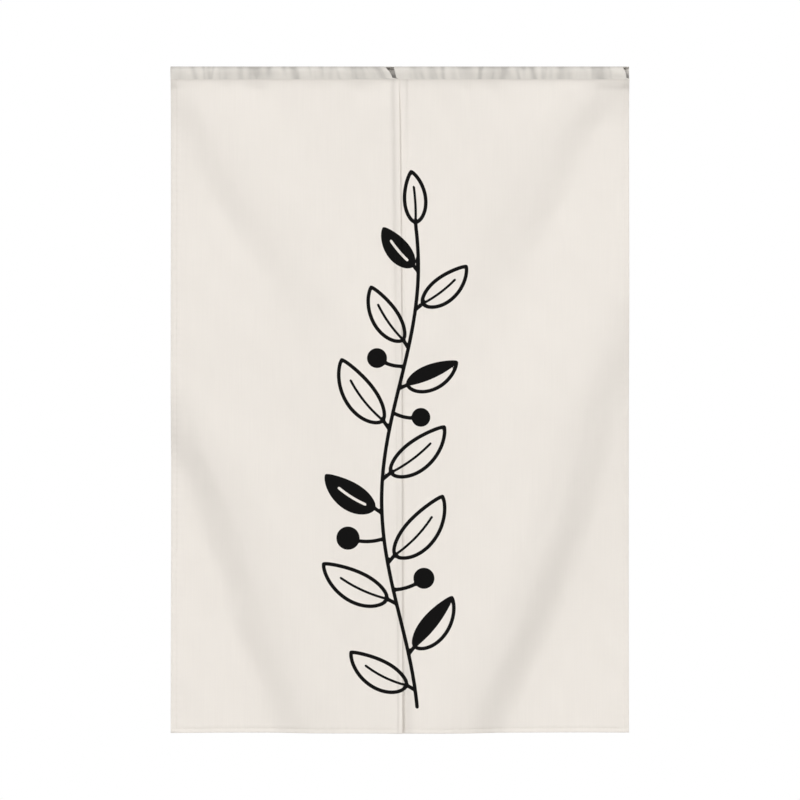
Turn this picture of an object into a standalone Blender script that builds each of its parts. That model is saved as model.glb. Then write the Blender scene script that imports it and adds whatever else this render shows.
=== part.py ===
"""Noren: a split doorway curtain of two cloth panels, each hanging from its own rod pocket.

Metres, +Z up. The origin is the middle of the heading's top edge, +X runs to the right
along the heading, and the front of the cloth faces -Y.
"""

from collections import namedtuple

import bmesh
import bpy
import numpy as np

MM = 0.001

# Driving dimensions
WIDTH = 826 * MM           # both panels side by side, as they hang
LENGTH = 1200 * MM         # from the top of the pockets to the bottom hems
POCKET_HEIGHT = 23.1 * MM  # from the top of the pockets to their seams
CLOTH = 1.2 * MM           # one layer of cloth
GAP = 0.3 * MM             # between a pocket and the panel under it
SLIT_GAP = 0.35 * MM       # between the panels where their inner edges lie side by side

# Hems, turned to the back of the cloth
SIDE_HEM = 10 * MM
BOTTOM_HEM = 8 * MM
HEM_STEP = 1.2 * MM        # over which a hem's second layer ends
HEM_CLOTH = 2 * CLOTH

# Rod pocket: a sleeve that is round at the top and tapers down to its seam
POCKET_RADIUS = 7.4 * MM   # half its depth in the valley of the deepest crease
POCKET_TAPER = 0.75        # 0 would be an oval section, 1 a sharp drop shape
GATHER = 3.6 * MM          # how far the ridges between creases stand proud
BACK_GATHER = 0.75         # the same on the back, as a share of the front
POCKET_SIDES = 14          # faces round the sleeve
SHOULDER = 0.8             # from a crease's valley to its shoulders, in widths of the crease
LEAST_COLUMN = 3           # mm: no narrower face along the sleeve
END_REACH = 60 * MM        # length over which a leaning end straightens up

# The slit: the left panel's inner edge drifts to the right on its way down, and below the
# first hand's breadth it laps in front of the right panel
INNER_TOP = -1.8 * MM
INNER_DRIFT = 6.3 * MM
DRIFT_LENGTH = 360 * MM
LAP = 5.5 * MM
LAP_FROM, LAP_TO = 120 * MM, 400 * MM
LIFT = 3.3 * MM            # how far the left edge stands in front of the right one
LIFT_FROM, LIFT_TO = 60 * MM, 115 * MM
FOOT_LIFT = 2.5 * MM       # more of the same, near the bottom hem
FOOT_LIFT_FROM = 1030 * MM
LIFT_REACH = 38 * MM       # from the edge, over which the cloth comes back

# The outer edges curl a little to the back
CURL = 3.0 * MM
CURL_REACH = 9 * MM

# Faces on a panel: columns across, rows in the reach of the heading's gathers, rows below
PANEL_COLUMNS = 27
HEADING_ROWS = 7
PANEL_ROWS = 32
HEADING_REACH = 90 * MM
HEADING_EASE = 1.5         # over 1, rows are closest at the seam

# Creases across the pockets, in mm: where each one is from the middle of the heading,
# how wide it is, and how deep as a share of GATHER
Crease = namedtuple("Crease", "at width depth")
LEFT_CREASES = [
    Crease(-394, 10, 0.5),
    Crease(-375, 9, 0.6),
    Crease(-355, 6, 0.4),
    Crease(-337, 10, 0.6),
    Crease(-313, 18, 0.8),
    Crease(-287, 7, 0.5),
    Crease(-261, 26, 1.0),
    Crease(-236, 9, 0.6),
    Crease(-207, 8, 0.5),
    Crease(-190, 9, 0.6),
    Crease(-137, 9, 0.6),
    Crease(-124, 7, 0.4),
    Crease(-72, 25, 0.7),
]
RIGHT_CREASES = [
    Crease(29, 8, 0.5),
    Crease(40, 7, 0.4),
    Crease(58, 9, 0.5),
    Crease(79, 7, 0.8),
    Crease(97, 8, 0.5),
    Crease(117, 18, 0.7),
    Crease(146, 7, 0.8),
    Crease(166, 18, 0.6),
    Crease(196, 9, 0.5),
    Crease(224, 9, 0.6),
    Crease(242, 10, 0.9),
    Crease(257, 8, 0.5),
    Crease(292, 12, 0.5),
    Crease(363, 18, 0.8),
]
TUCK_WIDTH = 15            # mm: only creases this wide run on into the panel below
TUCK_DEPTH = 2.6 * MM
TUCK_START = 8 * MM        # below the seam, over which a tuck opens
TUCK_FADE = 2.6            # a tuck's length, in widths of its crease

# Ends of the pockets, in mm: where each one is at the seam, how far its top leans along
# the heading, and how far the front layer's top is drawn along it past that
End = namedtuple("End", "at lean front")
LEFT_ENDS = (End(-413, 0, 0), End(-2.1, -9.3, -16))
RIGHT_ENDS = (End(-1.45, -9.3, 0), End(412.6, 0, -12))

# Slanting folds, in mm: soft troughs that start at an outer edge and run in and down.
# Each passes through its top, middle and foot, and tail is the share of its length over
# which it fades out at the foot
Fold = namedtuple("Fold", "top_x top_z mid_x foot_x foot_z width depth tail")
FOLDS = [
    Fold(-410, -60, -299, -205, -440, 54, 9, 0.5),
    Fold(-396, -690, -292, -200, -1200, 56, 9, 0.05),
    Fold(402, -40, 255, 178, -440, 54, 8, 0.5),
    Fold(405, -519, 318, 150, -1200, 58, 15, 0.05),
]
FOLD_HEAD = 0.16           # share of a fold's length over which it opens at its top
RIDGE_SHARE = 0.35         # a soft ridge runs along the inner side of each trough,
RIDGE_OFFSET = 1.05        # this many widths of the fold away from it
RIDGE_WIDTH = 1.3          # and this many wide

# Slow waves in the whole hanging, in mm: length of one wave across and down the cloth,
# where it starts in turns, and its height
Wave = namedtuple("Wave", "across down start height")
WAVES = [
    Wave(610, 2300, 0.10, 3.4),
    Wave(330, -1500, 0.42, 1.8),
    Wave(212, 1100, 0.77, 0.9),
]
WAVE_RISE = 420 * MM       # below the seam, over which the waves grow
FLAT_SEAM = 20 * MM        # below the seam, where the stitching still holds the cloth flat


def smooth_step(value, low, high):
    """0 below low, 1 above high, and an eased rise between them."""
    share = np.clip((value - low) / (high - low), 0.0, 1.0)
    return share * share * (3.0 - 2.0 * share)


def bump(distance, width):
    """1 at distance 0, falling off on both sides like a soft hill of this width."""
    return np.exp(-0.5 * (2.0 * distance / width) ** 2)


def left_inner_edge(down):
    """Where the left panel's inner edge is, this far below the heading's top edge."""
    return INNER_TOP + INNER_DRIFT * (1.0 - np.exp(-down / DRIFT_LENGTH))


def right_inner_edge(down):
    """The right panel's inner edge: beside the left one, then more and more behind it."""
    return left_inner_edge(down) + SLIT_GAP - LAP * smooth_step(down, LAP_FROM, LAP_TO)


def fold_depth(fold, x, down):
    """How far back one slanting fold takes the cloth. Its line is the parabola through
    the fold's top, middle and foot, and its section a trough with a soft ridge inside."""
    along = (-fold.top_z * MM - down) / ((fold.foot_z - fold.top_z) * MM)
    top = fold.top_x * (1.0 - along) * (1.0 - 2.0 * along)
    middle = fold.mid_x * 4.0 * along * (1.0 - along)
    foot = fold.foot_x * along * (2.0 * along - 1.0)
    from_line = x - (top + middle + foot) * MM
    width = fold.width * MM
    ridge_line = -np.sign(fold.top_x) * RIDGE_OFFSET * width
    trough = bump(from_line, width)
    ridge = RIDGE_SHARE * bump(from_line - ridge_line, RIDGE_WIDTH * width)
    opens = smooth_step(along, -FOLD_HEAD, FOLD_HEAD)
    fades = 1.0 - smooth_step(along, 1.0 - fold.tail, 1.0 + fold.tail)
    return fold.depth * MM * (trough - ridge) * opens * fades


def tuck_depth(crease, x, below_seam):
    """How far back a broad crease of a pocket carries on into the panel."""
    width = crease.width * MM
    opens = 1.0 - np.exp(-below_seam / TUCK_START)
    fades = np.exp(-below_seam / (TUCK_FADE * width))
    return crease.depth * TUCK_DEPTH * bump(x - crease.at * MM, width) * opens * fades


def wave_depth(wave, x, down):
    """One slow wave of the hanging cloth."""
    turns = x / (wave.across * MM) - down / (wave.down * MM) + wave.start
    return wave.height * MM * np.sin(2.0 * np.pi * turns)


def cloth_depth(x, down):
    """How far behind the middle of the heading the front of the hanging cloth lies."""
    below_seam = np.maximum(down - POCKET_HEIGHT, 0.0)
    depth = sum(fold_depth(fold, x, down) for fold in FOLDS)
    for crease in LEFT_CREASES + RIGHT_CREASES:
        if crease.width >= TUCK_WIDTH:
            depth = depth + tuck_depth(crease, x, below_seam)
    waves = sum(wave_depth(wave, x, down) for wave in WAVES)
    depth = depth + waves * smooth_step(below_seam, 0.0, WAVE_RISE)
    from_edge = WIDTH / 2.0 - np.abs(x)
    depth = depth + CURL * np.exp(-from_edge / CURL_REACH)
    return depth * smooth_step(below_seam, 0.0, FLAT_SEAM) - CLOTH / 2.0


def slit_lift(x, down):
    """How far the left panel comes forward towards its inner edge."""
    lift = LIFT * smooth_step(down, LIFT_FROM, LIFT_TO)
    lift = lift + FOOT_LIFT * smooth_step(down, FOOT_LIFT_FROM, LENGTH)
    return lift * np.exp(-(((left_inner_edge(down) - x) / LIFT_REACH) ** 2))


def hemmed_columns():
    """Shares of a panel's width: edge, hem, the hem's step, and even columns between."""
    panel_width = WIDTH / 2.0
    hem, step = SIDE_HEM / panel_width, (SIDE_HEM + HEM_STEP) / panel_width
    between = np.linspace(step, 1.0 - step, PANEL_COLUMNS - 1)
    return np.concatenate([[0.0, hem], between, [1.0 - hem, 1.0]])


def hemmed_rows():
    """Distances below the heading's top edge, from the bottom hem's edge upwards: the
    hem, its step, even rows, and close ones under the seam, where the gathers die out."""
    top, hem_top = POCKET_HEIGHT + GAP, LENGTH - BOTTOM_HEM
    near_seam = top + HEADING_REACH * np.linspace(0.0, 1.0, HEADING_ROWS + 1) ** HEADING_EASE
    below = np.linspace(near_seam[-1], hem_top - HEM_STEP, PANEL_ROWS + 1)[1:]
    return np.concatenate([near_seam, below, [hem_top, LENGTH]])[::-1]


def new_grid(columns, rows):
    """A grid to be shaped, and the column and row that each of its vertices is in."""
    bm = bmesh.new()
    bmesh.ops.create_grid(bm, x_segments=columns - 1, y_segments=rows - 1, size=1.0)
    places = np.array([(vertex.co.x, vertex.co.y) for vertex in bm.verts])
    steps = np.rint((places + 1.0) / 2.0 * (columns - 1, rows - 1)).astype(int)
    return bm, steps[:, 0], steps[:, 1]


def place_vertices(bm, x, y, z):
    for vertex, place in zip(bm.verts, np.stack([x, y, z], axis=1)):
        vertex.co = place


def cloth_material(name, colour, roughness):
    """Plain undyed cloth; colour is red, green and blue as a screen shows them, 0 to 255."""
    screen = np.array(colour) / 255.0
    linear = np.where(screen > 0.04045, ((screen + 0.055) / 1.055) ** 2.4, screen / 12.92)
    material = bpy.data.materials.new(name)
    material.use_nodes = True
    shader = material.node_tree.nodes["Principled BSDF"]
    shader.inputs["Base Color"].default_value = (*linear, 1.0)
    shader.inputs["Roughness"].default_value = roughness
    shader.inputs["Metallic"].default_value = 0.0
    return material


def add_sheet(bm, name, thickness, collection, material):
    """An object from a shaped grid, thickened on the side away from its normals."""
    for edge in bm.edges:
        edge.smooth = not edge.is_boundary
    mesh = bpy.data.meshes.new(name)
    bm.to_mesh(mesh)
    bm.free()
    mesh.polygons.foreach_set("use_smooth", [True] * len(mesh.polygons))
    mesh.materials.append(material)
    sheet = bpy.data.objects.new(name, mesh)
    collection.objects.link(sheet)
    solidify = sheet.modifiers.new("thickness", "SOLIDIFY")
    solidify.thickness = thickness
    solidify.offset = -1.0
    solidify.use_even_offset = True
    return sheet


def add_panel(name, collection, material):
    """One hanging panel: its front follows the folds, and its hems are thicker behind."""
    across, down_rows = hemmed_columns(), hemmed_rows()
    bm, column, row = new_grid(len(across), len(down_rows))
    share, down = across[column], down_rows[row]
    if name == "left_panel":
        x = -WIDTH / 2.0 + share * (left_inner_edge(down) + WIDTH / 2.0)
        y = cloth_depth(x, down) - slit_lift(x, down)
    else:
        x = WIDTH / 2.0 - (1.0 - share) * (WIDTH / 2.0 - right_inner_edge(down))
        y = cloth_depth(x, down)
    place_vertices(bm, x, y, -down)
    panel = add_sheet(bm, name, HEM_CLOTH, collection, material)

    hemmed = (column <= 1) | (column >= len(across) - 2) | (row <= 1)
    hem = panel.vertex_groups.new(name="hem")
    hem.add(np.flatnonzero(hemmed).tolist(), 1.0, "REPLACE")
    solidify = panel.modifiers["thickness"]
    solidify.vertex_group = hem.name
    solidify.thickness_vertex_group = CLOTH / HEM_CLOTH


def pocket_columns(creases, ends):
    """Where faces meet along a pocket: both ends, and each crease's valley and shoulders."""
    low, high = ends[0].at, ends[1].at
    wanted = [
        crease.at + side * SHOULDER * crease.width for crease in creases for side in (-1, 0, 1)
    ]
    columns = [low]
    for place in sorted(wanted):
        if place - columns[-1] >= LEAST_COLUMN and high - place >= LEAST_COLUMN:
            columns.append(place)
    return np.array(columns + [high]) * MM


def stand_off(creases, x):
    """How far the gathers stand off the rod's space at x, as a share of GATHER."""
    share = np.ones_like(x)
    for crease in creases:
        share = share - crease.depth * bump(x - crease.at * MM, crease.width * MM)
    return np.clip(share, 0.0, 1.0)


def pocket_depth(roundness, above_seam):
    """Half the sleeve's depth, as a share of its greatest: between an oval's, which is its
    roundness, and a drop's, which grows evenly from the seam and is widest at two thirds."""
    drop = 1.5 * np.sqrt(3.0) * above_seam * np.sqrt(1.0 - above_seam)
    return (1.0 - POCKET_TAPER) * roundness + POCKET_TAPER * drop


def add_pocket(name, creases, ends, collection, material):
    """An open-ended sleeve round the rod's space. Its section is a loop from the seam up
    the front, over the top and down the back, and its depth follows the creases."""
    columns = pocket_columns(creases, ends)
    bm, column, row = new_grid(len(columns), POCKET_SIDES + 1)
    angle = 2.0 * np.pi * (row % POCKET_SIDES) / POCKET_SIDES
    above_seam, facing_front = (1.0 - np.cos(angle)) / 2.0, np.sin(angle)
    x = columns[column]

    gather = np.where(facing_front > 0.0, GATHER, BACK_GATHER * GATHER) * stand_off(creases, x)
    half_depth = (POCKET_RADIUS + gather) * pocket_depth(np.abs(facing_front), above_seam)
    y = -np.sign(facing_front) * half_depth
    z = -POCKET_HEIGHT * (1.0 - above_seam)

    front_layer = smooth_step(facing_front, -1.0, 1.0)
    for end, end_x in zip(ends, (columns[0], columns[-1])):
        near_end = np.exp(-np.abs(columns[column] - end_x) / END_REACH)
        x = x + (end.lean + end.front * front_layer) * MM * above_seam * near_end
    place_vertices(bm, x, y, z)
    bmesh.ops.remove_doubles(bm, verts=bm.verts, dist=0.001 * MM)
    add_sheet(bm, name, CLOTH, collection, material)


def main():
    for old in list(bpy.data.objects):
        bpy.data.objects.remove(old, do_unlink=True)
    noren = bpy.data.collections.new("noren_curtain")
    bpy.context.scene.collection.children.link(noren)

    panel_cloth = cloth_material("panel_cloth", (235, 229, 221), 0.9)
    pocket_cloth = cloth_material("pocket_cloth", (226, 220, 213), 0.9)
    add_panel("left_panel", noren, panel_cloth)
    add_panel("right_panel", noren, panel_cloth)
    add_pocket("left_pocket", LEFT_CREASES, LEFT_ENDS, noren, pocket_cloth)
    add_pocket("right_pocket", RIGHT_CREASES, RIGHT_ENDS, noren, pocket_cloth)


main()
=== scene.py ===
"""Looks of a split doorway curtain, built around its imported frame.

Metres, +Z up, the front faces -Y, and the origin is the middle of the heading's top edge.
Distances down the cloth are measured from that edge.
"""

from collections import namedtuple

import bpy
import numpy as np
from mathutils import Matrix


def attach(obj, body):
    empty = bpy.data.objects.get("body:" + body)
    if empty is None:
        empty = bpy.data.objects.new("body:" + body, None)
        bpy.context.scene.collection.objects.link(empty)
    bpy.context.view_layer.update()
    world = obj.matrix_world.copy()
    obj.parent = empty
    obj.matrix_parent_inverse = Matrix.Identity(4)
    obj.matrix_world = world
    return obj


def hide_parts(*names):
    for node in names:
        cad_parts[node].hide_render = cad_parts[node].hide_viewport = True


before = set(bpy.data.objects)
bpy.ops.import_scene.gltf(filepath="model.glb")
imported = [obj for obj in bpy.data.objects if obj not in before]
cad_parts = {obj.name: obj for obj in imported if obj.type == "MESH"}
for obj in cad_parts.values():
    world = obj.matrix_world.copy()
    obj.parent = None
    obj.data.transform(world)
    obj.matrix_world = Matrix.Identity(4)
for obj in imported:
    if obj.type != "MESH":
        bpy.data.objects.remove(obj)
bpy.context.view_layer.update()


# How the cloth hangs. Both panels are one linen-look weave, half a millimetre thick. Four
# long soft folds slant in from the outer edges, slow waves lie between them, and the left
# panel's inner edge drifts over the right one's on its way down.
MM = 0.001
WIDTH, LENGTH = 826 * MM, 1200 * MM
SEAM = 23.1 * MM           # from the top of the pockets to the seam under them
CLOTH = 0.55 * MM
CAD_CLOTH = 1.2 * MM       # the frame's cloth, whose front this one keeps to

INNER_TOP = -1.8 * MM      # where the left panel's inner edge starts,
INNER_DRIFT = 6.3 * MM     # and how far it drifts over the right panel
DRIFT_LENGTH = 360 * MM
SLIT_GAP = 0.05 * MM
LAP = 5.5 * MM             # how far the right panel's edge lies behind the left one's
LAP_FROM, LAP_TO = 30 * MM, 400 * MM
LIFT = 3.0 * MM            # how far the left edge stands in front of the right one
LIFT_FROM, LIFT_TO = 24 * MM, 80 * MM
FOOT_LIFT = 3.0 * MM       # more of the same, near the bottom hem
FOOT_LIFT_FROM = 1030 * MM
LIFT_REACH = 38 * MM
CURL = 3.0 * MM            # the outer edges curl to the back
CURL_REACH = 9 * MM

# Folds, in mm: the places of top, middle and foot, then width and depth, the share of the
# length over which it fades out at the foot, and how far along it is deepest
Fold = namedtuple("Fold", "top_x top_z mid_x foot_x foot_z width depth tail deepest")
FOLDS = [
    Fold(-410, -50, -313, -198, -430, 44, 8, 0.5, 0.35),
    Fold(-405, -640, -295, -182, -1264, 50, 18, 0.05, 0.3),
    Fold(376, -50, 265, 185, -440, 48, 10, 0.5, 0.25),
    Fold(405, -490, 300, 135, -1264, 54, 22, 0.05, 0.65),
]
FOLD_HEAD = 0.16
FOLD_WOBBLE, WOBBLE_TURN = 3 * MM, 9.0         # how far a fold strays, to and fro, and how fast
FOLD_UNEVEN, UNEVEN_MEAN, UNEVEN_LENGTH = 0.35, 0.6, 0.6   # how much deeper at its deepest
SWELL = 0.30                    # of a fold's depth, by which the cloth comes forward first
RECOVERS = 0.5                  # of a fold's depth, on its outer side

Wave = namedtuple("Wave", "across down start height")
WAVES = [
    Wave(610, 2300, 0.10, 3.4),
    Wave(330, -1500, 0.42, 1.8),
    Wave(212, 1100, 0.77, 0.9),
]
WAVE_RISE = 420 * MM            # below the seam, over which the waves grow
FLAT_SEAM = 20 * MM             # below the seam, where the stitches still hold the cloth flat
FORWARD, FORWARD_REACH = 5.0 * MM, 800 * MM    # how far the lower part hangs forward
SEAM_FORE = 0.4 * MM            # the seam stands out in front,
SEAM_FALL, SEAM_FALL_REACH = 2.1 * MM, 9 * MM  # and the cloth falls back under it
SAGS, SAG_LENGTHS = 16, (24, 95)               # small unevenness: how many waves, and their mm
SAG_LEAN, SAG_RISE = 0.45, 0.0013              # radians off level, and height as a share of length

# The broad gathers that run on into the panel as short tucks: place, width and depth
Tuck = namedtuple("Tuck", "at width depth")
TUCKS = [
    Tuck(-313, 18, 0.8),
    Tuck(-261, 26, 1.0),
    Tuck(-72, 25, 0.7),
    Tuck(117, 18, 0.7),
    Tuck(166, 18, 0.6),
    Tuck(363, 18, 0.8),
]
TUCK_DEPTH = 2.6 * MM
TUCK_START = 8 * MM             # below the seam, over which a tuck opens
TUCK_FADE = 2.6                 # a tuck's length, in widths


def smooth_step(value, low, high):
    """0 below low, 1 above high, and an eased rise between them."""
    share = np.clip((value - low) / (high - low), 0.0, 1.0)
    return share * share * (3.0 - 2.0 * share)


def bump(distance, width):
    """1 at distance 0, falling off on both sides like a soft hill of this width."""
    return np.exp(-0.5 * (2.0 * distance / width) ** 2)


def left_inner_edge(down):
    """A quick drift to the right at first, then hardly any: 1 minus a falling power of e."""
    return INNER_TOP + INNER_DRIFT * (1.0 - np.exp(-down / DRIFT_LENGTH))


def right_inner_edge(down):
    """Beside the left panel's edge at the top, and more and more behind it lower down."""
    return left_inner_edge(down) + SLIT_GAP - LAP * smooth_step(down, LAP_FROM, LAP_TO)


def fold_depth(fold, x, down):
    """The cloth falls back across a line, slowly at first on its inner side, and comes half
    the way forward again on its outer. The line is the parabola through the fold's top,
    middle and foot, with a sine that makes it stray a little."""
    along = (-fold.top_z * MM - down) / ((fold.foot_z - fold.top_z) * MM)
    top = fold.top_x * (1.0 - along) * (1.0 - 2.0 * along)
    middle = fold.mid_x * 4.0 * along * (1.0 - along)
    foot = fold.foot_x * along * (2.0 * along - 1.0)
    line = (top + middle + foot) * MM + FOLD_WOBBLE * np.sin(WOBBLE_TURN * along + fold.depth)
    outwards = np.sign(fold.top_x) * (x - line) / (fold.width * MM)
    falls = 0.6 * smooth_step(outwards, -0.9, 0.6) + 0.4 * smooth_step(outwards, -2.0, 0.4)
    section = falls * (1.0 - RECOVERS * smooth_step(outwards, 0.4, 6.0))
    section = section - SWELL * bump(outwards + 1.7, 2.6)
    opens = smooth_step(along, -FOLD_HEAD, FOLD_HEAD)
    fades = 1.0 - smooth_step(along, 1.0 - fold.tail, 1.0 + fold.tail)
    uneven = 1.0 - FOLD_UNEVEN * (UNEVEN_MEAN - bump(along - fold.deepest, UNEVEN_LENGTH))
    return fold.depth * MM * section * opens * fades * uneven


def tuck_depth(tuck, x, below_seam):
    """A soft hill across, which opens under the seam and dies out further down."""
    width = tuck.width * MM
    opens = 1.0 - np.exp(-below_seam / TUCK_START)
    fades = np.exp(-below_seam / (TUCK_FADE * width))
    return tuck.depth * TUCK_DEPTH * bump(x - tuck.at * MM, width) * opens * fades


def wave_depth(wave, x, down):
    """A sine wave that slants across the cloth."""
    turns = x / (wave.across * MM) - down / (wave.down * MM) + wave.start
    return wave.height * MM * np.sin(2.0 * np.pi * turns)


def small_sag(x, down):
    """The slight unevenness of hanging cloth: low sine waves of many lengths, most of
    them running up and down, each as high as its length allows."""
    chance = np.random.default_rng(11)
    sag = np.zeros_like(x)
    for _ in range(SAGS):
        length = chance.uniform(*SAG_LENGTHS) * MM
        heading = chance.normal(0.0, SAG_LEAN)
        turns = (x * np.cos(heading) + down * np.sin(heading)) / length + chance.random()
        sag = sag + SAG_RISE * length * np.sin(2.0 * np.pi * turns)
    return sag


def cloth_depth(x, down):
    """How far behind the middle of the heading the front of the hanging cloth lies."""
    below_seam = np.maximum(down - SEAM, 0.0)
    depth = sum(fold_depth(fold, x, down) for fold in FOLDS)
    depth = depth + sum(tuck_depth(tuck, x, below_seam) for tuck in TUCKS)
    waves = sum(wave_depth(wave, x, down) for wave in WAVES)
    depth = depth + waves * smooth_step(below_seam, 0.0, WAVE_RISE)
    depth = depth + CURL * np.exp(-(WIDTH / 2.0 - np.abs(x)) / CURL_REACH)
    depth = depth + small_sag(x, down)
    depth = depth - FORWARD * smooth_step(below_seam, 0.0, FORWARD_REACH)
    depth = depth * smooth_step(below_seam, 0.0, FLAT_SEAM) - CAD_CLOTH / 2.0 - SEAM_FORE
    return depth + SEAM_FALL * (1.0 - np.exp(-below_seam / SEAM_FALL_REACH))


def slit_lift(x, down):
    """How far the left panel comes forward towards its inner edge."""
    lift = LIFT * smooth_step(down, LIFT_FROM, LIFT_TO)
    lift = lift + FOOT_LIFT * smooth_step(down, FOOT_LIFT_FROM, LENGTH)
    return lift * np.exp(-(((left_inner_edge(down) - x) / LIFT_REACH) ** 2))


# The hems. Both sides and the bottom of each panel are turned to the back once and sewn
# down 1 to 2 mm from the turned edge, and so is what is left over under the seam. Along
# the stitches the cloth is drawn in, and a hem is fullest at its folded edge.
OUTER_STITCHES = 9 * MM         # from the panel's outer edge
LEFT_INNER_STITCHES = (11.4 * MM, 7.6 * MM)    # from the inner edge, at the top and low down
RIGHT_INNER_STITCHES = (13.0 * MM, 9.0 * MM)
NARROWS_FROM, NARROWS_TO = 150 * MM, 1050 * MM
BOTTOM_STITCHES = 7.4 * MM
TOP_STITCHES = 1.2 * MM         # under the seam
TURNED_PAST = 1.15              # a turned hem ends this many times its stitches' distance in
TOP_TURNED = 3.6 * MM
TURNED_EDGE = 0.25 * MM
HEM_PUFF, PUFF_REACH = 0.35 * MM, 0.8          # fuller by this at the fold, over this share
GROOVE, GROOVE_WIDTH = 0.36 * MM, 3.4 * MM
RIPPLE, RIPPLE_LENGTH, RIPPLE_WIDTH = 0.10 * MM, 13 * MM, 14 * MM
RIPPLE_STRAY, STRAY_LENGTH = 0.23, 41 * MM     # in turns, so that ripples aren't evenly spaced
EDGE_ROUND = 0.48               # a folded edge's radius, as a share of its thickness

# Painted shade in the crease along the inner stitches, in mm: distance down, how much darker it is
# painted, its width
Crease = namedtuple("Crease", "down tone width")
LEFT_CREASE_SHADE = [
    Crease(0, 0.12, 6.5),
    Crease(250, 0.12, 6),
    Crease(600, 0.03, 5),
    Crease(930, 0.03, 4),
    Crease(1000, 0.13, 3),
    Crease(1200, 0.12, 3),
]
RIGHT_CREASE_SHADE = [
    Crease(0, 0.07, 5),
    Crease(100, 0.06, 5),
    Crease(160, 0, 5),
    Crease(1200, 0, 5),
]
# Painted shade beside the slit, and the left panel's painted shadow on the right one near the foot
SLIT_SHADE, SLIT_SHADE_WIDTH = 0.045, 9 * MM     # on both sides of the left panel's edge
SLIT_SHADE_FROM, SLIT_SHADE_TO = 120 * MM, 420 * MM
FOOT_SHADE_FROM, FOOT_SHADE_TO = 930 * MM, 1130 * MM
FOOT_SHADOW, FOOT_SHADOW_AT, FOOT_SHADOW_WIDTH = 0.10, 9 * MM, 15 * MM      # past the left panel's edge


def inner_stitches(side, down):
    """How far a panel's inner stitches are from its inner edge: a hem sewn by eye."""
    top, low = LEFT_INNER_STITCHES if side < 0 else RIGHT_INNER_STITCHES
    return top + (low - top) * smooth_step(down, NARROWS_FROM, NARROWS_TO)


def from_edges(side, x, down):
    """Distances to the outer edge, the inner edge and the bottom edge."""
    if side < 0:
        return WIDTH / 2.0 + x, left_inner_edge(down) - x, LENGTH - down
    return WIDTH / 2.0 - x, x - right_inner_edge(down), LENGTH - down


def panel_front(side, x, down):
    """The front of a panel: the hanging cloth, drawn in along the stitches and rippled a
    little by them."""
    outer, inner, bottom = from_edges(side, x, down)
    y = cloth_depth(x, down) - (slit_lift(x, down) if side < 0 else 0.0)
    rows = (
        (outer - OUTER_STITCHES, down),
        (inner - inner_stitches(side, down), down),
        (bottom - BOTTOM_STITCHES, x),
    )
    for off_row, along in rows:
        turns = along / RIPPLE_LENGTH + RIPPLE_STRAY * np.sin(along / STRAY_LENGTH)
        y = y + GROOVE * bump(off_row, GROOVE_WIDTH)
        y = y + RIPPLE * np.sin(2.0 * np.pi * turns) * bump(off_row, RIPPLE_WIDTH)
    return y


def hem_layer(distance, stitches):
    """1 in a turned hem and 0 past its turned edge, then how much fuller it is near its fold."""
    ends = TURNED_PAST * stitches
    layer = 1.0 - smooth_step(distance, ends, ends + TURNED_EDGE)
    return layer, HEM_PUFF * layer * smooth_step(
        stitches - distance, 0.0, PUFF_REACH * stitches
    )


def panel_thickness(side, x, down):
    """One layer of cloth, and one more for each hem that lies there."""
    outer, inner, bottom = from_edges(side, x, down)
    thickness = np.full_like(x, CLOTH)
    sewn = (
        (outer, OUTER_STITCHES),
        (inner, inner_stitches(side, down)),
        (bottom, BOTTOM_STITCHES),
    )
    for distance, stitches in sewn:
        layer, puff = hem_layer(distance, stitches)
        thickness = thickness + CLOTH * layer + puff
    under_seam = 1.0 - smooth_step(down - SEAM, TOP_TURNED, TOP_TURNED + TURNED_EDGE)
    return thickness + CLOTH * under_seam


def panel_painted_shade(side, x, down):
    """How much painted shade darkens the cloth: along the crease at its inner stitches, on both
    sides of the slit, and near the foot on the right panel, as a painted shadow of the left one."""
    inner = from_edges(side, x, down)[1]
    places, tones, widths = zip(*(LEFT_CREASE_SHADE if side < 0 else RIGHT_CREASE_SHADE))
    width = np.interp(down / MM, places, widths) * MM
    crease = bump(inner - inner_stitches(side, down), width)
    tone = np.interp(down / MM, places, tones) * crease
    off_edge = x - left_inner_edge(down)
    beside_slit = smooth_step(down, SLIT_SHADE_FROM, SLIT_SHADE_TO) * bump(off_edge, SLIT_SHADE_WIDTH)
    foot = smooth_step(down, FOOT_SHADE_FROM, FOOT_SHADE_TO)
    tone = tone + SLIT_SHADE * beside_slit * (1.0 - foot)
    if side > 0:
        tone = tone + FOOT_SHADOW * foot * bump(off_edge - FOOT_SHADOW_AT, FOOT_SHADOW_WIDTH)
    return tone


def edge_round(side, x, down, thickness):
    """How far the front and back draw together towards a folded edge: a half circle's rise."""
    radius = EDGE_ROUND * thickness
    nearest = np.minimum.reduce(from_edges(side, x, down))
    left_to_edge = np.clip(1.0 - nearest / radius, 0.0, 1.0)
    return radius * (1.0 - np.sqrt(1.0 - left_to_edge**2))


# The print. One ink colour, black, is screened on the front of both panels once they are
# hemmed, so the stitches take it too: a curving branch with open, half filled and solid
# leaves and round berries. The leaves' ribs are a finer line, and it runs across the slit.
LINE = 6.7                      # mm, as all sizes of the print
RIB_LINE = 4.6
STEM_TOP, STEM_FOOT = 292, 1152
STEM_SWAY, STEM_TURNS, STEM_START = 33, 1.02, 0.06
LEAF_SWELLS, LEAF_NARROWS = 0.62, 0.82         # powers of the way from its foot and to its tip
RIB_POINTS, RIB_FROM, RIB_TO = 44, 7, 31       # points along a leaf, and those its rib takes in
BERRY_BEND = 40                 # degrees by which a berry's stalk turns

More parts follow.
